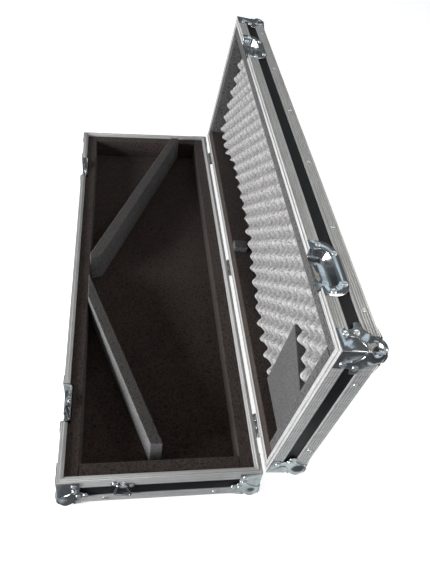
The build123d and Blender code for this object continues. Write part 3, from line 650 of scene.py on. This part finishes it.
def wave_sheet(form):
    """The sheet as one closed skin: waved face, cut sides and flat back."""
    skin = [[form.verts.new((x, y, wave_height(x, y))) for x, y in row] for row in wave_rows()]
    for low, high in zip(skin, skin[1:]):
        for j in range(min(len(low), len(high)) - 1):
            form.faces.new((low[j], low[j + 1], high[j + 1], high[j]))
    border = list(skin[0])
    border += [row[-1] for row in skin[1:NEAR_ROWS]]
    border += skin[NEAR_ROWS][INNER_COLUMNS:]
    border += [row[-1] for row in skin[NEAR_ROWS + 1:]]
    border += reversed(skin[-1][:-1])
    border += [row[0] for row in reversed(skin[1:-1])]
    back = [form.verts.new((v.co.x, v.co.y, WAVE_LOW)) for v in border]
    for k in range(len(border)):
        j = (k + 1) % len(border)
        form.faces.new((border[k], back[k], back[j], border[j]))
    form.faces.new(back)


base_foam()
lid_foam()
foam_object("wave_sheet", wave_sheet, "lid", WAVE, ["lid_wave_foam"], WAVE_ROUNDING)


# Studio, light and camera

FLOOR_REACH = 6.0
FLOOR_LIFT = 0.68
SKY_STRENGTH = 0.165
WHITE = (1, 1, 1, 1)
LIGHTS = [
    # name, place, aim, size, power in watts, colour
    ("window", (-2.5, -0.9, 0.7), (0.05, 0, 0.15), (1.4, 1.2), 122, (0.975, 0.988, 1.0)),
    ("ceiling", (-0.1, 0.3, 2.5), (0, 0, 0.1), (1.6, 1.6), 3, (1.0, 0.95, 0.86)),
    ("far window", (1.5, 2.5, 2.7), (0.1, 0, 0.2), (1.6, 1.2), 5, (0.74, 0.90, 1.0)),
    ("light behind the lid", (1.3, -0.15, 1.45), (0.15, 0, 0.4), (0.8, 0.8), 11, (1.0, 0.98, 0.94)),
    ("front fill", (0.8, -2.3, 0.6), (0, -0.2, 0.1), (1.8, 0.8), 3, (0.80, 0.90, 1.0)),
]


def patchy(tree, kind, scale, dark, light):
    """Surroundings as a shiny piece sees them: soft dark and light patches."""
    share = ramp(tree, noise_node(tree, coordinate(tree, kind), scale, 0.0, 0.5), 0.40, 0.60)
    return mix_colour(tree, share, dark, light)


def studio():
    """A pale floor that fades into a white backdrop, with the case's own shadow."""
    mesh = bpy.data.meshes.new("studio_floor")
    corners = [(x, y, 0) for x, y in rectangle(-FLOOR_REACH, -FLOOR_REACH, FLOOR_REACH, FLOOR_REACH)]
    mesh.from_pydata(corners, [], [(0, 1, 2, 3)])
    floor = bpy.data.objects.new("studio_floor", mesh)
    bpy.context.collection.objects.link(floor)
    material, tree, shader = new_material("pale floor")
    shader.inputs["Base Color"].default_value = (0.90, 0.90, 0.90, 1)
    shader.inputs["Roughness"].default_value = 0.9
    shader.inputs["Specular IOR Level"].default_value = 0.0
    shader.inputs["Emission Color"].default_value = WHITE
    rays = tree.nodes.new("ShaderNodeLightPath").outputs
    lift = math_node(tree, "MULTIPLY", rays["Is Camera Ray"], FLOOR_LIFT)
    tree.links.new(lift, shader.inputs["Emission Strength"])
    # painted light and shade seen only in shiny metal: the floor shows light and dark patches, and grows
    # dark in front of the case, where light falls off
    dim = tree.nodes.new("ShaderNodeBsdfDiffuse")
    patches = patchy(tree, "Object", 5.0, (0.14, 0.145, 0.16, 1), (0.90, 1.0, 1.0, 1))
    in_front = ramp(tree, axis_of(tree, "Object", "Y"), -0.60, -0.74)
    seen = mix_colour(tree, in_front, patches, (0.12, 0.125, 0.14, 1))
    tree.links.new(seen, dim.inputs["Color"])
    choice = tree.nodes.new("ShaderNodeMixShader")
    tree.links.new(rays["Is Glossy Ray"], choice.inputs[0])
    tree.links.new(shader.outputs[0], choice.inputs[1])
    tree.links.new(dim.outputs[0], choice.inputs[2])
    tree.links.new(choice.outputs[0], tree.nodes["Material Output"].inputs["Surface"])
    mesh.materials.append(material)


def area_light(name, place, aim, size, power, colour):
    """A rectangular light at a place, turned to what it aims at."""
    data = bpy.data.lights.new(name, "AREA")
    data.shape = "RECTANGLE"
    data.size, data.size_y = size
    data.energy = power
    data.color = colour
    lamp = bpy.data.objects.new(name, data)
    bpy.context.collection.objects.link(lamp)
    lamp.location = place
    lamp.rotation_euler = (Vector(aim) - Vector(place)).to_track_quat("-Z", "Y").to_euler()


def sky():
    """White as the camera sees it, dim as a light, and patchy in shiny metal."""
    world = bpy.data.worlds.new("studio")
    bpy.context.scene.world = world
    world.use_nodes = True
    tree = world.node_tree
    background = tree.nodes["Background"]
    rays = tree.nodes.new("ShaderNodeLightPath").outputs
    patches = patchy(tree, "Generated", 1.7, (0.25, 0.26, 0.28, 1), (3.0, 3.5, 3.9, 1))
    far_away = ramp(tree, axis_of(tree, "Generated", "Y"), 0.25, 0.55)
    seen = mix_colour(tree, far_away, patches, (0.66, 0.72, 0.77, 1))
    around = mix_colour(tree, rays["Is Glossy Ray"], (0.91, 0.93, 0.96, 1), seen)
    tint = mix_colour(tree, rays["Is Camera Ray"], around, WHITE)
    tree.links.new(tint, background.inputs["Color"])
    strength = math_node(tree, "MULTIPLY_ADD", rays["Is Camera Ray"], 1.0 - SKY_STRENGTH, SKY_STRENGTH)
    tree.links.new(strength, background.inputs["Strength"])


# The photograph's view, solved from the case's straight edges: place from the near left corner of the
# base's rim in metres, angles in radians, lens and sensor height in millimetres
EYE = (0.1098, -0.4142, 0.8986)
TURN, TILT, ROLL = -0.2220, 0.8085, 0.1583
LENS = 24.32
SENSOR = 24


def camera():
    """Looks at the case as the photograph does."""
    place = Vector((EYE[0] - HALF_W, EYE[1] - HALF_L, EYE[2] + RIM_HEIGHT))
    level = math.cos(TILT)
    forward = Vector((-math.sin(TURN) * level, math.cos(TURN) * level, -math.sin(TILT)))
    right = forward.cross(Vector((0, 0, 1))).normalized()
    up = right.cross(forward)
    across = right * math.cos(ROLL) + up * math.sin(ROLL)
    upward = up * math.cos(ROLL) - right * math.sin(ROLL)
    data = bpy.data.cameras.new("camera")
    data.sensor_fit = "VERTICAL"
    data.sensor_height = SENSOR
    data.lens = LENS
    data.clip_start = 0.05
    eye = bpy.data.objects.new("camera", data)
    bpy.context.collection.objects.link(eye)
    axes = Matrix((across, upward, -forward)).transposed()
    eye.matrix_world = Matrix.Translation(place) @ axes.to_4x4()
    bpy.context.scene.camera = eye


studio()
for light in LIGHTS:
    area_light(*light)
sky()
camera()
bpy.context.scene.view_settings.view_transform = "Standard"
